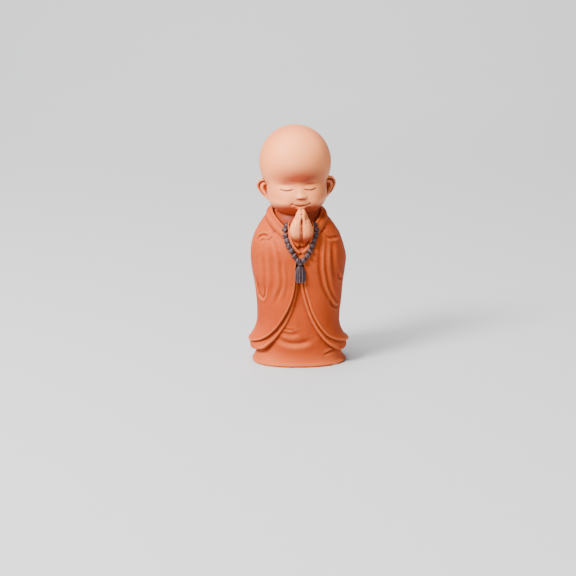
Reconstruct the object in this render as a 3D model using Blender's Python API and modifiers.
"""Praying monk figurine: a small child monk in a wide-sleeved robe, cast in one piece of resin.

The frame is +Z up, the figure faces -Y, and the origin is under the middle of its flat underside.
Each form is a closed mesh of its own. A voxel remesh casts them together into one body, which is
thinned to a few thousand triangles and cut flat underneath.
The figure's proportions are written in shares, eightieths of its height, so a share is a
millimetre when it stands 80 mm tall. Beads, hems, collar and cuffs have sizes of their own.
"""

import math

import bmesh
import bpy
import numpy as np

# Driving dimensions, in metres
HEIGHT = 0.080
BEAD_DIAMETER = 0.0019
BEAD_OVERLAP = 0.00010
HEM_LIP = 0.0013
HEM_ROLL = 0.00036
LINING_ROLL = 0.00052
COLLAR_WIDTH = 0.0025
COLLAR_THICKNESS = 0.0016
CUFF_WIDTH = 0.00115
CUFF_THICKNESS = 0.0009

TRIANGLES = 9400

SHARE = HEIGHT / 80
VOXEL = 0.26 * SHARE
UNDERSIDE_SPARE = 1.2

# Robe layers, from the underside up: height, half width, front depth, back depth, middle
UNDER_ROBE = [
    (-UNDERSIDE_SPARE, 15.2, 11.4, 11.5, 0.0),
    (0.0, 15.5, 11.7, 11.8, 0.0),
    (0.4, 15.95, 12.1, 12.2, 0.05),
    (1.4, 15.35, 11.8, 11.9, -0.1),
    (3.4, 14.4, 11.4, 11.5, -0.1),
    (5.5, 13.6, 11.1, 11.2, -0.1),
    (9.0, 12.7, 10.9, 10.9, -0.2),
    (14.0, 12.0, 10.8, 10.7, -0.3),
    (20.0, 11.6, 10.7, 10.5, -0.3),
    (28.0, 11.8, 10.6, 10.3, -0.3),
    (36.0, 12.2, 10.2, 10.2, -0.4),
    (43.0, 11.2, 8.8, 9.7, -0.7),
    (48.0, 8.8, 7.0, 8.3, -0.9),
    (51.0, 7.0, 5.6, 6.9, -1.0),
    (54.0, 5.4, 4.6, 5.6, -1.0),
]
SLEEVE_LINING = [
    (4.0, 15.2, 11.6, 11.8, -0.2),
    (4.8, 16.2, 11.8, 12.0, -0.2),
    (5.8, 16.5, 11.9, 12.1, -0.25),
    (7.4, 15.9, 11.8, 12.0, -0.3),
    (9.0, 14.7, 11.7, 11.6, -0.35),
    (11.5, 13.5, 11.6, 11.3, -0.3),
    (15.0, 13.0, 11.6, 11.1, -0.3),
    (22.0, 13.2, 11.6, 10.6, -0.3),
    (30.0, 14.2, 11.5, 10.0, -0.4),
    (37.0, 14.2, 11.0, 9.6, -0.4),
]
OVER_ROBE = [
    (2.2, 15.0, 12.8, 12.8, -0.2),
    (4.4, 16.2, 12.8, 12.6, -0.25),
    (7.0, 17.15, 12.8, 12.4, -0.15),
    (8.5, 16.2, 12.8, 12.3, -0.35),
    (10.5, 15.0, 12.8, 12.1, -0.35),
    (13.0, 14.15, 12.8, 11.9, -0.3),
    (17.0, 14.0, 12.8, 11.6, -0.2),
    (22.0, 14.4, 12.9, 11.3, -0.05),
    (27.0, 14.9, 13.1, 11.1, -0.15),
    (32.0, 15.7, 13.5, 10.9, -0.25),
    (36.0, 16.05, 13.7, 10.7, -0.25),
    (39.0, 15.7, 13.6, 10.4, -0.5),
    (42.0, 14.9, 12.7, 9.9, -0.7),
    (44.5, 13.9, 11.4, 9.4, -0.75),
    (47.0, 12.45, 10.0, 8.7, -0.85),
    (49.5, 10.6, 8.7, 7.9, -0.95),
    (51.2, 9.3, 7.6, 7.4, -1.0),
    (52.8, 8.0, 6.2, 6.8, -1.0),
]
ROBE_SQUARENESS = 2.3

# Lower edges of the sleeve layers as points (x, z): from the front middle out to each sleeve's
# tip, and then from the tip to the back middle
OVER_HEM_RIGHT = [
    (-0.7, 37.4), (0.3, 36.9), (0.8, 35.0), (0.95, 31.0), (1.3, 27.5), (2.2, 24.0), (3.6, 19.4),
    (5.4, 15.7), (7.4, 12.6), (9.9, 10.0), (12.9, 8.4), (16.4, 7.4),
]
OVER_HEM_LEFT = [
    (-0.7, 37.4), (-1.7, 36.9), (-2.2, 35.0), (-2.35, 31.0), (-2.6, 27.5), (-3.4, 23.5),
    (-5.0, 19.5), (-7.0, 15.9), (-9.6, 12.3), (-12.9, 9.4), (-16.9, 7.5),
]
OVER_HEM_BACK = [
    (16.4, 7.4), (14.6, 7.7), (12.8, 6.3), (11.2, 4.2), (8.4, 3.2), (4.5, 2.9), (0.0, 2.8),
]
LINING_HEM_RIGHT = [
    (-0.7, 34.0), (-0.2, 32.4), (0.1, 29.0), (0.6, 25.6), (1.5, 22.0), (3.0, 17.6), (4.9, 13.6),
    (7.3, 10.1), (9.9, 7.3), (12.4, 5.5), (15.4, 4.6),
]
LINING_HEM_LEFT = [
    (-0.7, 34.0), (-1.3, 32.4), (-1.6, 29.0), (-1.9, 25.6), (-2.7, 22.0), (-3.9, 18.3),
    (-5.6, 14.7), (-7.8, 11.3), (-10.3, 8.3), (-12.6, 6.2), (-15.4, 5.2),
]
LINING_HEM_BACK = [
    (15.4, 4.9), (13.2, 5.6), (11.0, 8.0), (8.6, 11.5), (0.0, 14.0),
]
LINING_TOP = 37.0

# Folds as (width, depth, side of the raised lip, points (x, z) on the front or the back)
OVER_FOLDS = [
    (0.45, 0.60, 1, [(-14.3, 42.6), (-13.4, 43.9), (-12.2, 44.4), (-10.8, 44.3)]),
    (0.40, 0.35, 1, [(-13.5, 42.1), (-12.8, 42.9), (-11.9, 43.1)]),
    (0.40, 0.40, 1, [(-11.3, 42.9), (-10.5, 43.3), (-9.6, 44.2)]),
    (0.50, 0.45, 0, [(-10.3, 47.3), (-9.4, 46.4), (-8.6, 45.0)]),
    (0.40, 0.35, 0, [(-8.3, 46.9), (-9.0, 45.9), (-9.7, 45.2)]),
    (0.50, 0.22, -1, [(-9.2, 43.0), (-8.4, 41.4), (-7.9, 39.6), (-7.7, 37.6)]),
    (0.80, 0.30, -1, [(-12.6, 38.5), (-12.3, 34.5), (-12.1, 30.0), (-11.9, 26.5)]),
    (0.80, 0.26, -1, [(-10.4, 40.0), (-9.8, 35.0), (-9.6, 30.0), (-10.2, 25.0)]),
    (0.60, 0.30, -1, [(-7.2, 39.0), (-6.9, 34.0), (-6.8, 27.7), (-7.9, 25.0), (-8.9, 21.8)]),
    (0.60, 0.18, -1, [(-5.2, 36.0), (-4.8, 31.0), (-5.2, 26.0), (-6.2, 22.5)]),
    (0.45, 0.55, -1, [(-14.3, 28.6), (-13.9, 26.0), (-13.3, 23.8), (-12.6, 23.2), (-12.1, 24.4),
                      (-12.0, 27.5)]),
    (0.40, 0.40, -1, [(-14.9, 30.4), (-14.3, 27.6), (-13.9, 25.6)]),
    (0.45, 0.50, -1, [(8.4, 44.2), (9.6, 43.5), (11.0, 43.4), (12.6, 43.3)]),
    (0.45, 0.40, 0, [(6.3, 47.6), (7.0, 46.3), (7.6, 45.1)]),
    (0.40, 0.35, 0, [(8.4, 47.0), (7.5, 46.0), (6.4, 45.4)]),
    (0.65, 0.55, 1, [(6.5, 45.0), (6.1, 38.9), (6.0, 34.8), (6.6, 30.6), (7.3, 27.5), (8.5, 24.8),
                     (10.8, 20.4)]),
    (0.65, 0.55, 1, [(8.3, 43.4), (7.9, 37.9), (7.9, 34.8), (8.5, 30.7), (9.3, 27.0), (11.0, 23.2),
                     (12.6, 20.6)]),
    (0.80, 0.35, 1, [(10.5, 42.0), (10.3, 38.0), (10.5, 34.0), (11.4, 29.4)]),
    (0.55, 0.50, 1, [(12.3, 31.8), (12.9, 29.8), (14.2, 28.8)]),
    (0.50, 0.55, 1, [(9.8, 22.4), (10.9, 20.5), (12.2, 19.7), (13.6, 19.6)]),
    (0.35, 0.50, 0, [(-0.5, 42.0), (-0.6, 40.0), (-0.7, 37.8)]),
    (2.00, 1.20, 0, [(-1.6, 42.4), (1.0, 42.4)]),
]
BACK_FOLDS = [
    (0.90, 0.95, 1, [(-9.6, 44.0), (-11.0, 36.0), (-10.8, 26.0), (-11.2, 15.0), (-13.6, 8.0)]),
    (0.90, 0.95, -1, [(9.6, 44.0), (11.0, 36.0), (10.8, 26.0), (11.2, 15.0), (13.6, 8.0)]),
    (0.80, 0.45, 1, [(-14.6, 42.4), (-12.9, 43.4), (-11.2, 42.4)]),
    (0.80, 0.45, -1, [(14.6, 42.0), (12.9, 43.0), (11.0, 42.2)]),
    (1.10, 0.50, 1, [(-5.8, 44.0), (-5.0, 32.0), (-5.6, 18.0), (-7.2, 5.0)]),
    (1.10, 0.55, -1, [(0.3, 46.0), (0.8, 32.0), (0.2, 16.0), (0.9, 4.0)]),
    (1.10, 0.50, -1, [(5.6, 43.0), (5.4, 31.0), (6.0, 17.0), (7.6, 5.0)]),
]
UNDER_FOLDS = [
    (0.35, 0.30, -1, [(-6.4, 13.8), (-4.6, 13.0), (-2.6, 12.9)]),
    (0.80, 0.38, -1, [(-6.2, 12.1), (-3.6, 11.4), (-0.6, 11.9)]),
    (0.90, 0.55, -1, [(-7.4, 9.9), (-4.4, 8.5), (-1.0, 8.3), (3.4, 9.3)]),
    (0.35, 0.40, 1, [(8.0, 3.9), (9.8, 4.5), (12.2, 4.7)]),
]
ARM_OF_FOLDS = 12.0

# The collar's middle line as turns round the neck, from the front, and heights
COLLAR_PATH = [
    (0, 42.2), (5, 43.0), (16, 44.8), (28, 46.6), (42, 48.3), (58, 49.6), (75, 50.6), (95, 51.4),
    (120, 51.9), (150, 52.0), (180, 51.9),
]
COLLAR_RISE = 0.4
COLLAR_SEAT = 0.985

# Edges of the sleeves where the hands come out, as points (x, y, z)
CUFF_LEFT = [
    (-4.0, -9.6, 49.4), (-4.25, -10.7, 47.8), (-4.05, -11.7, 46.2), (-3.75, -12.5, 44.4),
    (-3.3, -13.0, 42.6), (-2.6, -13.3, 41.2), (-1.6, -13.4, 40.1), (-0.5, -13.3, 39.4),
]
CUFF_RIGHT = [
    (3.6, -9.6, 49.2), (3.9, -10.7, 47.6), (3.65, -11.7, 46.0), (3.3, -12.5, 44.2),
    (2.8, -13.0, 42.5), (2.1, -13.3, 41.2), (1.1, -13.4, 40.1), (0.0, -13.3, 39.4),
]

# Head, measured from its own middle
HEAD_MIDDLE = (-1.4, -1.2, 62.5)
HEAD_TURN = math.radians(4.5)
HEAD_TILT = math.radians(-1.5)
CRANIUM_MIDDLE = (0.2, 0.7, 5.2)
CRANIUM_RADII = (11.9, 12.5, 12.3)
JAW_MIDDLE = (0.0, -3.4, -5.2)
JAW_RADII = (9.7, 7.9, 6.9)
BROW_BLEND = 4.4

# Features of the face as (x, z, half width, half height, how far it stands out, middle x)
FACE = [
    (0.0, -4.55, 1.20, 0.78, 1.10, 0.25),
    (1.15, -4.85, 0.55, 0.50, 0.34, 0.25),
    (0.0, -3.2, 0.85, 1.50, 0.34, 0.0),
    (4.9, -6.4, 2.90, 2.30, 0.95, 0.0),
    (4.0, -1.0, 2.30, 1.10, -0.62, -0.4),
    (0.0, 0.9, 7.00, 1.20, 0.30, -0.4),
    (3.9, -2.0, 1.80, 0.75, 0.40, -0.5),
    (0.0, -10.6, 2.00, 1.50, 0.50, 0.0),
    (0.0, -6.9, 1.80, 0.60, 0.25, 0.1),
    (0.0, -8.75, 1.50, 0.42, 0.40, 0.1),
    (2.85, -7.1, 0.50, 0.50, -0.50, 0.1),
]
SMILE_MIDDLE = -8.0
SMILE_MIDDLE_X = 0.1
SMILE_RISE = 0.13
SMILE_HALF_WIDTH = 2.15
SMILE_DEPTH = 0.40
SMILE_THICKNESS = 0.30
EYE_MIDDLE = (3.85, -2.8)
EYE_SHIFT = -0.5
EYE_HALF_WIDTH = 1.75
EYE_SAG = 0.10
EYE_DEPTH = 0.26
EYE_THICKNESS = 0.28

# Ears: the side of each at its middle, and its half width at each height from lobe to top
EAR_MIDDLE = (0.0, -0.1, -3.6)
EAR_SIDES = {-1: 9.65, 1: 10.75}
EAR_WIDTH = 3.1
EAR_HEIGHT = 4.0
EAR_THICKNESS = 1.15
EAR_OUTLINE = [
    (-1.0, 0.66), (-0.75, 0.68), (-0.4, 0.74), (0.0, 0.86), (0.4, 1.05), (0.75, 1.20), (1.0, 1.10),
]
EAR_TURN = math.radians(38)
EAR_LEAN = math.radians(20)

# The neck and the bit of chest in the opening of the robe
CHEST_MIDDLE = (-0.9, -0.4, 47.5)
CHEST_RADII = (8.4, 8.0, 8.4)

# One hand from the wrist up: height, inner side, outer side, front, back
PALM = [
    (40.4, 0.25, 1.8, 12.0, 9.9),
    (41.6, 0.25, 1.85, 12.7, 10.0),
    (42.6, 0.32, 2.0, 13.3, 10.0),
    (43.3, 0.36, 2.5, 14.2, 10.1),
    (44.0, 0.26, 3.0, 15.2, 10.1),
    (44.9, 0.08, 3.45, 15.8, 10.2),
    (46.2, 0.02, 3.75, 16.1, 10.3),
    (47.5, 0.01, 3.75, 16.3, 10.4),
    (48.7, 0.01, 3.4, 16.3, 10.6),
    (49.6, 0.05, 2.95, 16.1, 11.0),
    (50.4, 0.30, 2.5, 15.7, 11.6),
    (50.9, 0.50, 1.9, 15.0, 12.2),
]
HANDS_MIDDLE = -0.2
# The wall between the palms as (height, front)
WEB = [
    (40.6, 11.4), (42.5, 12.3), (44.0, 14.0), (45.0, 15.1), (46.2, 15.5), (48.6, 15.6),
    (49.6, 15.2), (50.3, 14.4), (52.0, 13.6),
]
WEB_HALF_WIDTH = 0.5
WEB_BACK = 10.8

# Fingers from the little finger, in front, to the first: front, tip, spread, radius
FINGERS = [
    (-15.8, 52.2, 0.30, 0.56),
    (-14.95, 53.2, 0.36, 0.66),
    (-13.9, 53.8, 0.41, 0.72),
    (-12.8, 53.3, 0.46, 0.70),
]
FINGER_FOOT = 47.0
FINGER_TIP_SIDE = 0.3

# String of beads as points (x, z), down each side to the knot
STRAND_LEFT = [
    (-5.0, 48.5), (-5.4, 47.2), (-5.3, 45.6), (-4.85, 43.8), (-4.35, 41.9), (-3.4, 40.2),
    (-2.45, 38.5), (-1.4, 36.9),
]
STRAND_RIGHT = [
    (4.4, 48.2), (4.8, 47.0), (4.6, 45.4), (4.05, 43.7), (3.4, 42.0), (2.7, 40.2), (1.85, 38.5),
    (0.6, 36.9),
]
KNOT = (-0.5, 36.1)
KNOT_SINK = 0.35
TASSEL_TOP = 35.3
TASSEL_FOOT = 29.6
TASSEL_WIDTH = 3.15
TASSEL_SINK = 0.25
TASSEL_FLUTES = 10
TASSEL_FLATNESS = 0.62

def along(rows, at):
    """Reads a smooth curve through rows of (parameter, value, ...) at the given parameters."""
    rows = np.asarray(rows, float)
    at = np.atleast_1d(np.asarray(at, float))
    knots = rows[:, 0]
    values = rows[:, 1:]
    slopes = np.gradient(values, knots, axis=0)
    low = np.clip(np.searchsorted(knots, at) - 1, 0, len(knots) - 2)
    step = (knots[low + 1] - knots[low])[:, None]
    t = np.clip((at - knots[low])[:, None] / step, 0, 1)
    start = (1 + 2 * t) * (1 - t) ** 2 * values[low] + t * (1 - t) ** 2 * step * slopes[low]
    end = t * t * (3 - 2 * t) * values[low + 1] + t * t * (t - 1) * step * slopes[low + 1]
    return start + end


def even_points(points, count):
    """Spreads count points evenly along a smooth curve through the given points."""
    points = np.asarray(points, float)
    steps = np.linalg.norm(np.diff(points, axis=0), axis=1)
    reach = np.concatenate([[0], np.cumsum(steps)])
    return along(np.column_stack([reach, points]), np.linspace(0, reach[-1], count))


def turn_of(layer, x, z):
    """The turn round the robe at which a layer reaches x at the height z, on its front half."""
    half_width, _, _, middle_x = along(layer, z).T
    share = np.clip(np.abs(x - middle_x) / half_width, 0, 1)
    return np.sign(x - middle_x) * np.arcsin(share ** (ROBE_SQUARENESS / 2))


def relief(turn, z, folds, layer, behind=False):
    """How far folds push the cloth in (negative) or out at each turn and height."""
    total = np.zeros_like(z)
    if behind:
        turn = np.where(turn > 0, math.pi - turn, -math.pi - turn)
    here = np.column_stack([turn * ARM_OF_FOLDS, z])
    for width, depth, side, points in folds:
        path = even_points(points, 13)
        path[:, 0] = turn_of(layer, path[:, 0], path[:, 1]) * ARM_OF_FOLDS
        nearest = np.full(len(z), 1e9)
        signed = np.zeros(len(z))
        place = np.zeros(len(z))
        for i in range(len(path) - 1):
            line = path[i + 1] - path[i]
            t = np.clip((here - path[i]) @ line / (line @ line), 0, 1)
            away = here - path[i] - t[:, None] * line
            distance = np.linalg.norm(away, axis=1)
            closer = distance < nearest
            nearest = np.where(closer, distance, nearest)
            across = line[0] * away[:, 1] - line[1] * away[:, 0]
            signed = np.where(closer, np.sign(across) * distance, signed)
            place = np.where(closer, (i + t) / (len(path) - 1), place)
        fade = np.clip(4.0 * np.minimum(place, 1 - place) + 0.25, 0, 1)
        crease = np.exp(-((signed / width) ** 2))
        lip = np.exp(-(((signed - side * 1.7 * width) / (1.3 * width)) ** 2)) * abs(side)
        total += fade * depth * (0.55 * lip - crease)
    return total


def robe_surface(layer, turn, z, scale=1.0, front_folds=(), back_folds=()):
    """Points of a robe layer: turn is 0 at the front middle, pi / 2 at +X and pi at the back."""
    turn, z = np.broadcast_arrays(np.asarray(turn, float), np.asarray(z, float))
    half_width, front, back, middle_x = along(layer, z).T
    power = 2 / ROBE_SQUARENESS
    s = np.sin(turn)
    c = np.cos(turn)
    depth = np.where(c > 0, front, back)
    x = half_width * np.sign(s) * np.abs(s) ** power
    y = -depth * np.sign(c) * np.abs(c) ** power
    push = relief(turn, z, front_folds, layer) * (c > -0.3)
    push += relief(turn, z, back_folds, layer, behind=True) * (c < 0.3)
    grow = 1 + push / np.maximum(np.hypot(x, y), 1.0)
    return np.column_stack([x * grow * scale + middle_x, y * grow * scale, z])


def front_of(layer, x, z):
    """The y of a layer's front surface at x and z."""
    return robe_surface(layer, turn_of(layer, x, z), z)[:, 1]


def turned(points, angle, axis):
    """Turns points round an axis (0 for X, 1 for Y, 2 for Z) through the origin."""
    c = math.cos(angle)
    s = math.sin(angle)
    i = (axis + 1) % 3
    j = (axis + 2) % 3
    result = np.array(points, float)
    result[:, i] = c * points[:, i] - s * points[:, j]
    result[:, j] = s * points[:, i] + c * points[:, j]
    return result


def mesh_from(bm, name):
    """Turns a closed bmesh in shares into a smooth mesh at the figure's real size, outside out."""
    if bm.calc_volume(signed=True) < 0:
        bmesh.ops.reverse_faces(bm, faces=bm.faces)
    bmesh.ops.scale(bm, vec=(SHARE,) * 3, verts=bm.verts)
    mesh = bpy.data.meshes.new(name)
    bm.to_mesh(mesh)
    bm.free()
    mesh.shade_smooth()
    return mesh


def add_form(name, mesh, collection):
    obj = bpy.data.objects.new(name, mesh)
    collection.objects.link(obj)
    return obj


def loft(name, rings, closed=False):
    """Skins rings of points, and caps the first and the last unless they close on each other."""
    bm = bmesh.new()
    rows = [[bm.verts.new(point) for point in ring] for ring in rings]
    if closed:
        rows.append(rows[0])
    else:
        bm.faces.new(rows[0][::-1])
        bm.faces.new(rows[-1])
    count = len(rows[0])
    for lower, upper in zip(rows, rows[1:]):
        for i in range(count):
            j = (i + 1) % count
            bm.faces.new((lower[i], lower[j], upper[j], upper[i]))
    return mesh_from(bm, name)


def ball(name, segments, rings, place):
    """A UV sphere whose points are moved by place, a function of their directions."""
    bm = bmesh.new()
    bmesh.ops.create_uvsphere(bm, u_segments=segments, v_segments=rings, radius=1)
    directions = np.array([vert.co for vert in bm.verts])
    for vert, point in zip(bm.verts, place(directions)):
        vert.co = point
    return mesh_from(bm, name)


def rings_along(path, ahead, lean, radii, sides, flat):
    """Rings across a path. Flat squeezes each ring along lean, the direction across it."""
    ahead = ahead / np.linalg.norm(ahead, axis=1)[:, None]
    lean = lean - ahead * np.sum(lean * ahead, axis=1)[:, None]
    lean /= np.linalg.norm(lean, axis=1)[:, None]
    across = np.cross(ahead, lean)
    angles = np.arange(sides) * 2 * math.pi / sides
    rings = []
    for centre, radius, u, v in zip(path, radii, across, lean):
        circle = np.outer(np.cos(angles), u) + flat * np.outer(np.sin(angles), v)
        rings.append(centre + radius * circle)
    return rings


def tube(name, path, radii, sides, flat=1.0, lean=(0.0, -1.0, 0.0)):
    path = np.asarray(path, float)
    return loft(name, rings_along(path, np.gradient(path, axis=0), lean, radii, sides, flat))


def loop(name, path, radius, sides):
    """A tube that closes on itself."""
    ahead = np.roll(path, -1, axis=0) - np.roll(path, 1, axis=0)
    radii = np.full(len(path), radius)
    return loft(name, rings_along(path, ahead, path * (1, 1, 0), radii, sides, 1.0), closed=True)


def pulled_in(points, amount):
    """Points moved towards the upright axis."""
    flat = np.linalg.norm(points[:, :2], axis=1)[:, None]
    moved = points.copy()
    moved[:, :2] *= 1 - amount / flat
    return moved


# The robe

SKIRT_SIDES = 96
SKIRT_LOW_RINGS = [-UNDERSIDE_SPARE, 0.0, 0.4, 0.9, 1.5, 2.2]
SKIRT_FOLD_RINGS = np.linspace(3.0, 15.0, 22)
SKIRT_HIGH_RINGS = np.linspace(17.0, 54.0, 12)


def skirt():
    """The under-robe, from the flat underside up to the neck."""
    turns = np.arange(SKIRT_SIDES) * 2 * math.pi / SKIRT_SIDES - math.pi
    heights = np.concatenate([SKIRT_LOW_RINGS, SKIRT_FOLD_RINGS, SKIRT_HIGH_RINGS])
    return loft("skirt", [robe_surface(UNDER_ROBE, turns, z, 1.0, UNDER_FOLDS) for z in heights])


def hem_columns(layer, right, left, back, count):
    """The turn and the lowest height of each column of a sleeve layer, all the way round."""
    sides = []
    behind = np.array(back)
    behind_turns = math.pi - turn_of(layer, behind[:, 0], behind[:, 1])
    for front, sign in ((right, 1), (left, -1)):
        edge = np.array(front)
        turns = np.concatenate([turn_of(layer, edge[:, 0], edge[:, 1]), sign * behind_turns])
        heights = np.concatenate([edge[:, 1], behind[:, 1]])
        columns = even_points(np.column_stack([turns * ARM_OF_FOLDS, heights]), count)
        sides.append(columns / (ARM_OF_FOLDS, 1))
    return np.concatenate([sides[0], sides[1][-2:0:-1]])


# Rings of a sleeve layer's core inside the skirt: height above the hem, share of the skirt's width
CORE_RINGS = [(0.2, 0.96), (0.6, 0.8)]
CORE_TOP = 10.0
CORE_TOP_WIDTH = 0.2


def sleeve_layer(name, layer, columns, top, levels, folds, back_folds):
    """A hanging layer of the robe: its outside, the lip of its hem, and a core inside the skirt."""
    turn, hem = columns.T
    skins = []
    for level in levels:
        skins.append(robe_surface(layer, turn, top + (hem - top) * level, 1.0, folds, back_folds))
    skins.append(pulled_in(skins[-1], HEM_LIP / SHARE))
    for rise, width in CORE_RINGS:
        skins.append(robe_surface(UNDER_ROBE, turn, hem + rise, width))
    skins.append(robe_surface(UNDER_ROBE, turn, hem / 2 + CORE_TOP, CORE_TOP_WIDTH))
    return loft(name, skins)


def hem_roll(name, layer, columns, roll, folds, back_folds):
    """The rounded edge of a layer's hem, all the way round."""
    turn, hem = columns.T
    radius = roll / SHARE
    path = pulled_in(robe_surface(layer, turn, hem, 1.0, folds, back_folds), 0.6 * radius)
    path[:, 2] += 0.7 * radius
    return loop(name, path, radius, 8)


def over_robe():
    columns = hem_columns(OVER_ROBE, OVER_HEM_RIGHT, OVER_HEM_LEFT, OVER_HEM_BACK, 90)
    levels = np.linspace(0, 1, 60)
    top = along(COLLAR_PATH, np.degrees(np.abs(columns[:, 0])))[:, 0] + COLLAR_RISE
    return [
        sleeve_layer("over_robe", OVER_ROBE, columns, top, levels, OVER_FOLDS, BACK_FOLDS),
        hem_roll("over_hem", OVER_ROBE, columns, HEM_ROLL, OVER_FOLDS, BACK_FOLDS),
    ]


def sleeve_lining():
    columns = hem_columns(SLEEVE_LINING, LINING_HEM_RIGHT, LINING_HEM_LEFT, LINING_HEM_BACK, 70)
    levels = np.linspace(0, 1, 12)
    return [
        sleeve_layer("sleeve_lining", SLEEVE_LINING, columns, LINING_TOP, levels, (), ()),
        hem_roll("lining_hem", SLEEVE_LINING, columns, LINING_ROLL, (), ()),
    ]


def collar(name, sign):
    """The turned-down edge of the robe, from the nape round the neck to the front."""
    path = even_points(COLLAR_PATH, 30)
    turn = sign * np.radians(path[:, 0])
    middle = robe_surface(OVER_ROBE, turn, path[:, 1], COLLAR_SEAT)
    outward = middle * (1, 1, 0)
    outward = outward / np.linalg.norm(outward, axis=1)[:, None] + (0, 0, 0.6)
    radii = np.full(len(middle), COLLAR_WIDTH / SHARE / 2)
    return tube(name, middle, radii, 12, COLLAR_THICKNESS / COLLAR_WIDTH, outward)


def cuff(name, points):
    """The edge of a sleeve's mouth beside the hand, thin at its upper end."""
    path = even_points(points, 24)
    radii = CUFF_WIDTH / SHARE / 2 * np.sin(np.linspace(0.3, 1, 24) * math.pi / 2)
    return tube(name, path, radii, 8, CUFF_THICKNESS / CUFF_WIDTH)


# The head

HEAD_SEGMENTS = 84
HEAD_RINGS = 64
FACE_EDGE = 9.5


def ray(directions, middle, radii):
    """How far an ellipsoid's surface is from the head's middle, in each direction."""
    radii = np.array(radii)
    start = -np.array(middle) / radii
    way = directions / radii
    a = np.sum(way * way, axis=1)
    b = np.sum(way * start, axis=1)
    c = start @ start - 1
    return (-b + np.sqrt(np.maximum(b * b - a * c, 0))) / a


def blended(first, second, width):
    """The larger of two values, rounded where they are close."""
    near = np.maximum(width - np.abs(first - second), 0) / width
    return np.maximum(first, second) + near * near * width / 4


def set_on_body(points):
    return turned(turned(points, HEAD_TILT, 1), HEAD_TURN, 2) + HEAD_MIDDLE


def eye_line(x, z):
    """How much of the closed eyes' line there is at each point, from 0 to 1."""
    away = np.abs(x - EYE_SHIFT) - EYE_MIDDLE[0]
    lid = EYE_MIDDLE[1] + EYE_SAG * away**2
    span = np.clip((EYE_HALF_WIDTH + 0.5 - np.abs(away)) / 0.5, 0, 1)
    return span * np.exp(-(((z - lid) / EYE_THICKNESS) ** 2))


def smile_line(x, z):
    """How much of the smile's line there is at each point, from 0 to 1."""
    aside = np.abs(x - SMILE_MIDDLE_X)
    smile = SMILE_MIDDLE + SMILE_RISE * aside**2
    span = np.clip((SMILE_HALF_WIDTH + 0.7 - aside) / 0.7, 0, 1)
    return span * np.exp(-(((z - smile) / SMILE_THICKNESS) ** 2))


def head_surface(directions):
    """Cranium and jaw blended into one form, with the face raised and carved on its front."""
    cranium = ray(directions, CRANIUM_MIDDLE, CRANIUM_RADII)
    jaw = ray(directions, JAW_MIDDLE, JAW_RADII)
    points = directions * blended(cranium, jaw, BROW_BLEND)[:, None]
    x, y, z = points.T
    facing = np.clip((-y - 3) / 3, 0, 1) * (np.abs(x) < FACE_EDGE)
    push = -SMILE_DEPTH * smile_line(x, z) - EYE_DEPTH * eye_line(x, z)
    for across, up, half_width, half_height, height, middle_x in FACE:
        aside = (np.abs(x - middle_x) - across) / half_width
        push += height * np.exp(-(aside**2) - ((z - up) / half_height) ** 2)
    return points + directions * (push * facing)[:, None]


def head():
    """The head, with its points closer together on the face than on the crown and the back."""
    def place(directions):
        around = np.arctan2(directions[:, 0], -directions[:, 1])
        around -= 0.35 * np.sin(around)
        up = np.arcsin(np.clip(directions[:, 2], -1, 1))
        up -= 0.16 * np.cos(up) ** 2 * np.sin(2 * up + 0.5)
        flat = np.cos(up)
        aimed = np.column_stack([flat * np.sin(around), -flat * np.cos(around), np.sin(up)])
        return set_on_body(head_surface(aimed))

    return ball("head", HEAD_SEGMENTS, HEAD_RINGS, place)


def ear(name, sign):
    """A cupped ear: a curled rim round the top and back, a second fold, a hollow and a lobe."""
    def place(directions):
        across, face, height = directions.T
        width = along(EAR_OUTLINE, height)[:, 0]
        reach = np.hypot(across, height)
        upper = np.clip((height + 0.55) / 0.3, 0, 1)
        outer = np.clip((across + 0.75) / 0.4, 0, 1)
        hollow = 1.9 * np.clip(1 - (np.hypot(across + 0.3, height + 0.05) / 0.62) ** 2, 0, 1)
        groove = 1.0 * np.exp(-(((reach - 0.70) / 0.10) ** 2)) * upper * outer
        rim = 0.35 * np.exp(-(((reach - 0.90) / 0.10) ** 2)) * upper * outer
        points = np.column_stack([across * width * EAR_WIDTH, face * EAR_THICKNESS, height * EAR_HEIGHT])
        points[:, 0] += 0.5 * height
        points[:, 1] += np.where(face < 0, hollow + groove - rim, 0)
        points = turned(points, EAR_LEAN, 1)
        points = turned(points, EAR_TURN, 2)
        points = (points + EAR_MIDDLE + (EAR_SIDES[sign], 0, 0)) * (sign, 1, 1)
        return set_on_body(points)

    return ball(name, 44, 36, place)


def chest(directions):
    return directions * CHEST_RADII + CHEST_MIDDLE


# The hands

def palm(name, sign):
    """One hand from the wrist to the knuckles, its side rounded towards the other hand."""
    rings = []
    angles = np.linspace(0, 2 * math.pi, 28, endpoint=False)
    for z, inner, outer, front, back in even_points(PALM, 22):
        turn_in = np.cos(angles)
        side = np.where(turn_in > 0, np.abs(turn_in) ** 0.85, -np.abs(turn_in) ** 0.45)
        depth = np.sign(np.sin(angles)) * np.abs(np.sin(angles)) ** 0.9
        x = (inner + outer) / 2 + (outer - inner) / 2 * side
        y = -(front + back) / 2 - (front - back) / 2 * depth
        rings.append(np.column_stack([HANDS_MIDDLE + sign * x, y, np.full_like(x, z)]))
    return loft(name, rings)


def web():
    """The thin wall where the two palms meet, behind the slit between them."""
    rings = []
    left = HANDS_MIDDLE - WEB_HALF_WIDTH
    right = HANDS_MIDDLE + WEB_HALF_WIDTH
    for z, front in WEB:
        rings.append([(left, -front, z), (right, -front, z), (right, -WEB_BACK, z), (left, -WEB_BACK, z)])
    return loft("web", rings)


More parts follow.
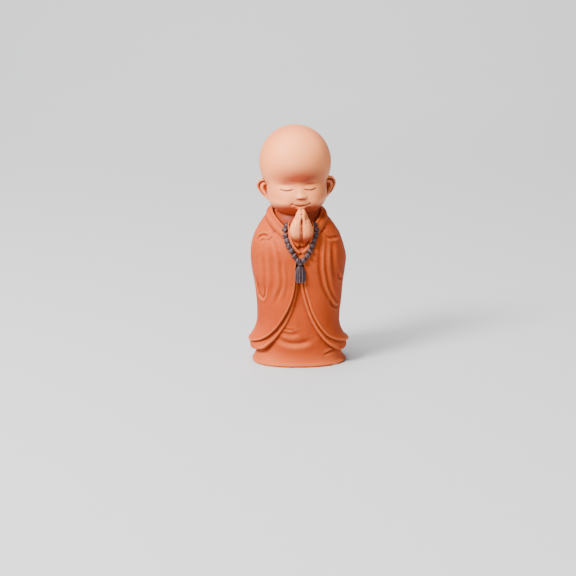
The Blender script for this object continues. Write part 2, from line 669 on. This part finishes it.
def finger(name, sign, row):
    """A finger of one hand: it rises out of the palm, and leans in to its round tip."""
    y, tip, spread, radius = row
    heights = np.linspace(FINGER_FOOT, tip, 20)
    grown = np.clip((heights - FINGER_FOOT) / 2.6, 0, 1)
    grown = grown * grown * (3 - 2 * grown)
    x = FINGER_TIP_SIDE + spread * (tip - heights)
    end = np.clip((tip - heights) / (1.1 * radius), 0, 1)
    radii = radius * (0.12 + 0.88 * np.sqrt(1 - (1 - end) ** 2)) * (0.5 + 0.5 * grown)
    path = np.column_stack([
        HANDS_MIDDLE + sign * x,
        y + 0.9 * (1 - grown) + 0.05 * (heights - FINGER_FOOT),
        heights,
    ])
    return tube(name, path, radii, 12)


# The beads

def strand(points):
    """Bead centres along one side of the string, half sunk into the robe."""
    path = even_points(points, 25)
    y = front_of(OVER_ROBE, path[:, 0], path[:, 1]) - 0.25 * BEAD_DIAMETER / SHARE
    path = np.column_stack([path[:, 0], y, path[:, 1]])
    length = np.sum(np.linalg.norm(np.diff(path, axis=0), axis=1))
    pitch = (BEAD_DIAMETER - BEAD_OVERLAP) / SHARE
    return even_points(path, 1 + int(length / pitch))


def bead(name, middle):
    radius = BEAD_DIAMETER / SHARE / 2
    return ball(name, 10, 8, lambda directions: directions * radius + middle)


def knot_point():
    x, z = KNOT
    return np.array([x, front_of(OVER_ROBE, x, z)[0] - KNOT_SINK, z])


def tassel():
    """A bundle of threads: a round head over a fluted skirt that widens to its foot."""
    x = KNOT[0]
    y = front_of(OVER_ROBE, x, TASSEL_TOP)[0] - TASSEL_SINK
    angles = np.linspace(0, 2 * math.pi, 2 * TASSEL_FLUTES, endpoint=False)
    rings = []
    for share, width in ((0, 0.35), (0.06, 0.62), (0.2, 0.86), (0.5, 1.0), (0.85, 1.0), (1.0, 0.86)):
        flutes = 1 + 0.1 * min(1, 3 * share) * np.cos(angles * TASSEL_FLUTES)
        radius = width * flutes * TASSEL_WIDTH / 2
        z = TASSEL_TOP + (TASSEL_FOOT - TASSEL_TOP) * share
        rings.append(np.column_stack([
            x + radius * np.cos(angles),
            y + TASSEL_FLATNESS * radius * np.sin(angles),
            np.full_like(angles, z),
        ]))
    return loft("tassel", rings)


# The casting

def painted(name, colour, roughness):
    material = bpy.data.materials.new(name)
    material.use_nodes = True
    surface = material.node_tree.nodes["Principled BSDF"]
    surface.inputs["Base Color"].default_value = (*colour, 1)
    surface.inputs["Roughness"].default_value = roughness
    return material


def collection_of(name, hidden):
    collection = bpy.data.collections.new(name)
    bpy.context.scene.collection.children.link(collection)
    collection.hide_render = hidden
    return collection


def all_forms():
    forms = [skirt(), ball("chest", 40, 28, chest), head(), web(), tassel()]
    forms += over_robe() + sleeve_lining()
    forms += [cuff("cuff_left", CUFF_LEFT), cuff("cuff_right", CUFF_RIGHT)]
    for side, sign in (("left", -1), ("right", 1)):
        forms.append(collar("collar_" + side, sign))
        forms.append(ear("ear_" + side, sign))
        forms.append(palm("palm_" + side, sign))
        forms += [finger("finger_" + side, sign, row) for row in FINGERS]
    forms.append(bead("knot", knot_point()))
    for middle in np.concatenate([strand(STRAND_LEFT), strand(STRAND_RIGHT)]):
        forms.append(bead("bead", middle))
    return forms


def joined(meshes, name):
    """Puts closed meshes into one, still as separate shells."""
    bm = bmesh.new()
    for mesh in meshes:
        bm.from_mesh(mesh)
        bpy.data.meshes.remove(mesh)
    mesh = bpy.data.meshes.new(name)
    bm.to_mesh(mesh)
    bm.free()
    mesh.shade_smooth()
    return mesh


def floor_cutter(collection):
    """A block below the underside, which cuts the figure off flat."""
    bm = bmesh.new()
    bmesh.ops.create_cube(bm, size=1)
    bmesh.ops.scale(bm, vec=(HEIGHT, HEIGHT, HEIGHT / 4), verts=bm.verts)
    bmesh.ops.translate(bm, vec=(0, 0, -HEIGHT / 8), verts=bm.verts)
    mesh = bpy.data.meshes.new("floor_cutter")
    bm.to_mesh(mesh)
    bm.free()
    cutter = add_form("floor_cutter", mesh, collection)
    cutter.hide_render = True
    cutter.display_type = "WIRE"
    return cutter


def thin_out(obj):
    """Collapses the remeshed surface to about the wanted number of triangles."""
    seen = obj.evaluated_get(bpy.context.evaluated_depsgraph_get()).data
    step = obj.modifiers.new("thin out", "DECIMATE")
    step.ratio = min(1, TRIANGLES / (2 * len(seen.polygons)))
    step.use_collapse_triangulate = True


def build():
    for obj in list(bpy.data.objects):
        bpy.data.objects.remove(obj)
    figure = collection_of("praying_monk", False)
    cutters = collection_of("cutters", True)

    monk = add_form("praying_monk", joined(all_forms(), "praying_monk"), figure)
    monk.data.materials.append(painted("painted resin", (0.62, 0.19, 0.09), 0.6))
    cast = monk.modifiers.new("cast", "REMESH")
    cast.mode = "VOXEL"
    cast.voxel_size = VOXEL
    cast.use_smooth_shade = True
    thin_out(monk)
    cut = monk.modifiers.new("flat underside", "BOOLEAN")
    cut.operation = "DIFFERENCE"
    cut.object = floor_cutter(cutters)
    cut.solver = "EXACT"


build()
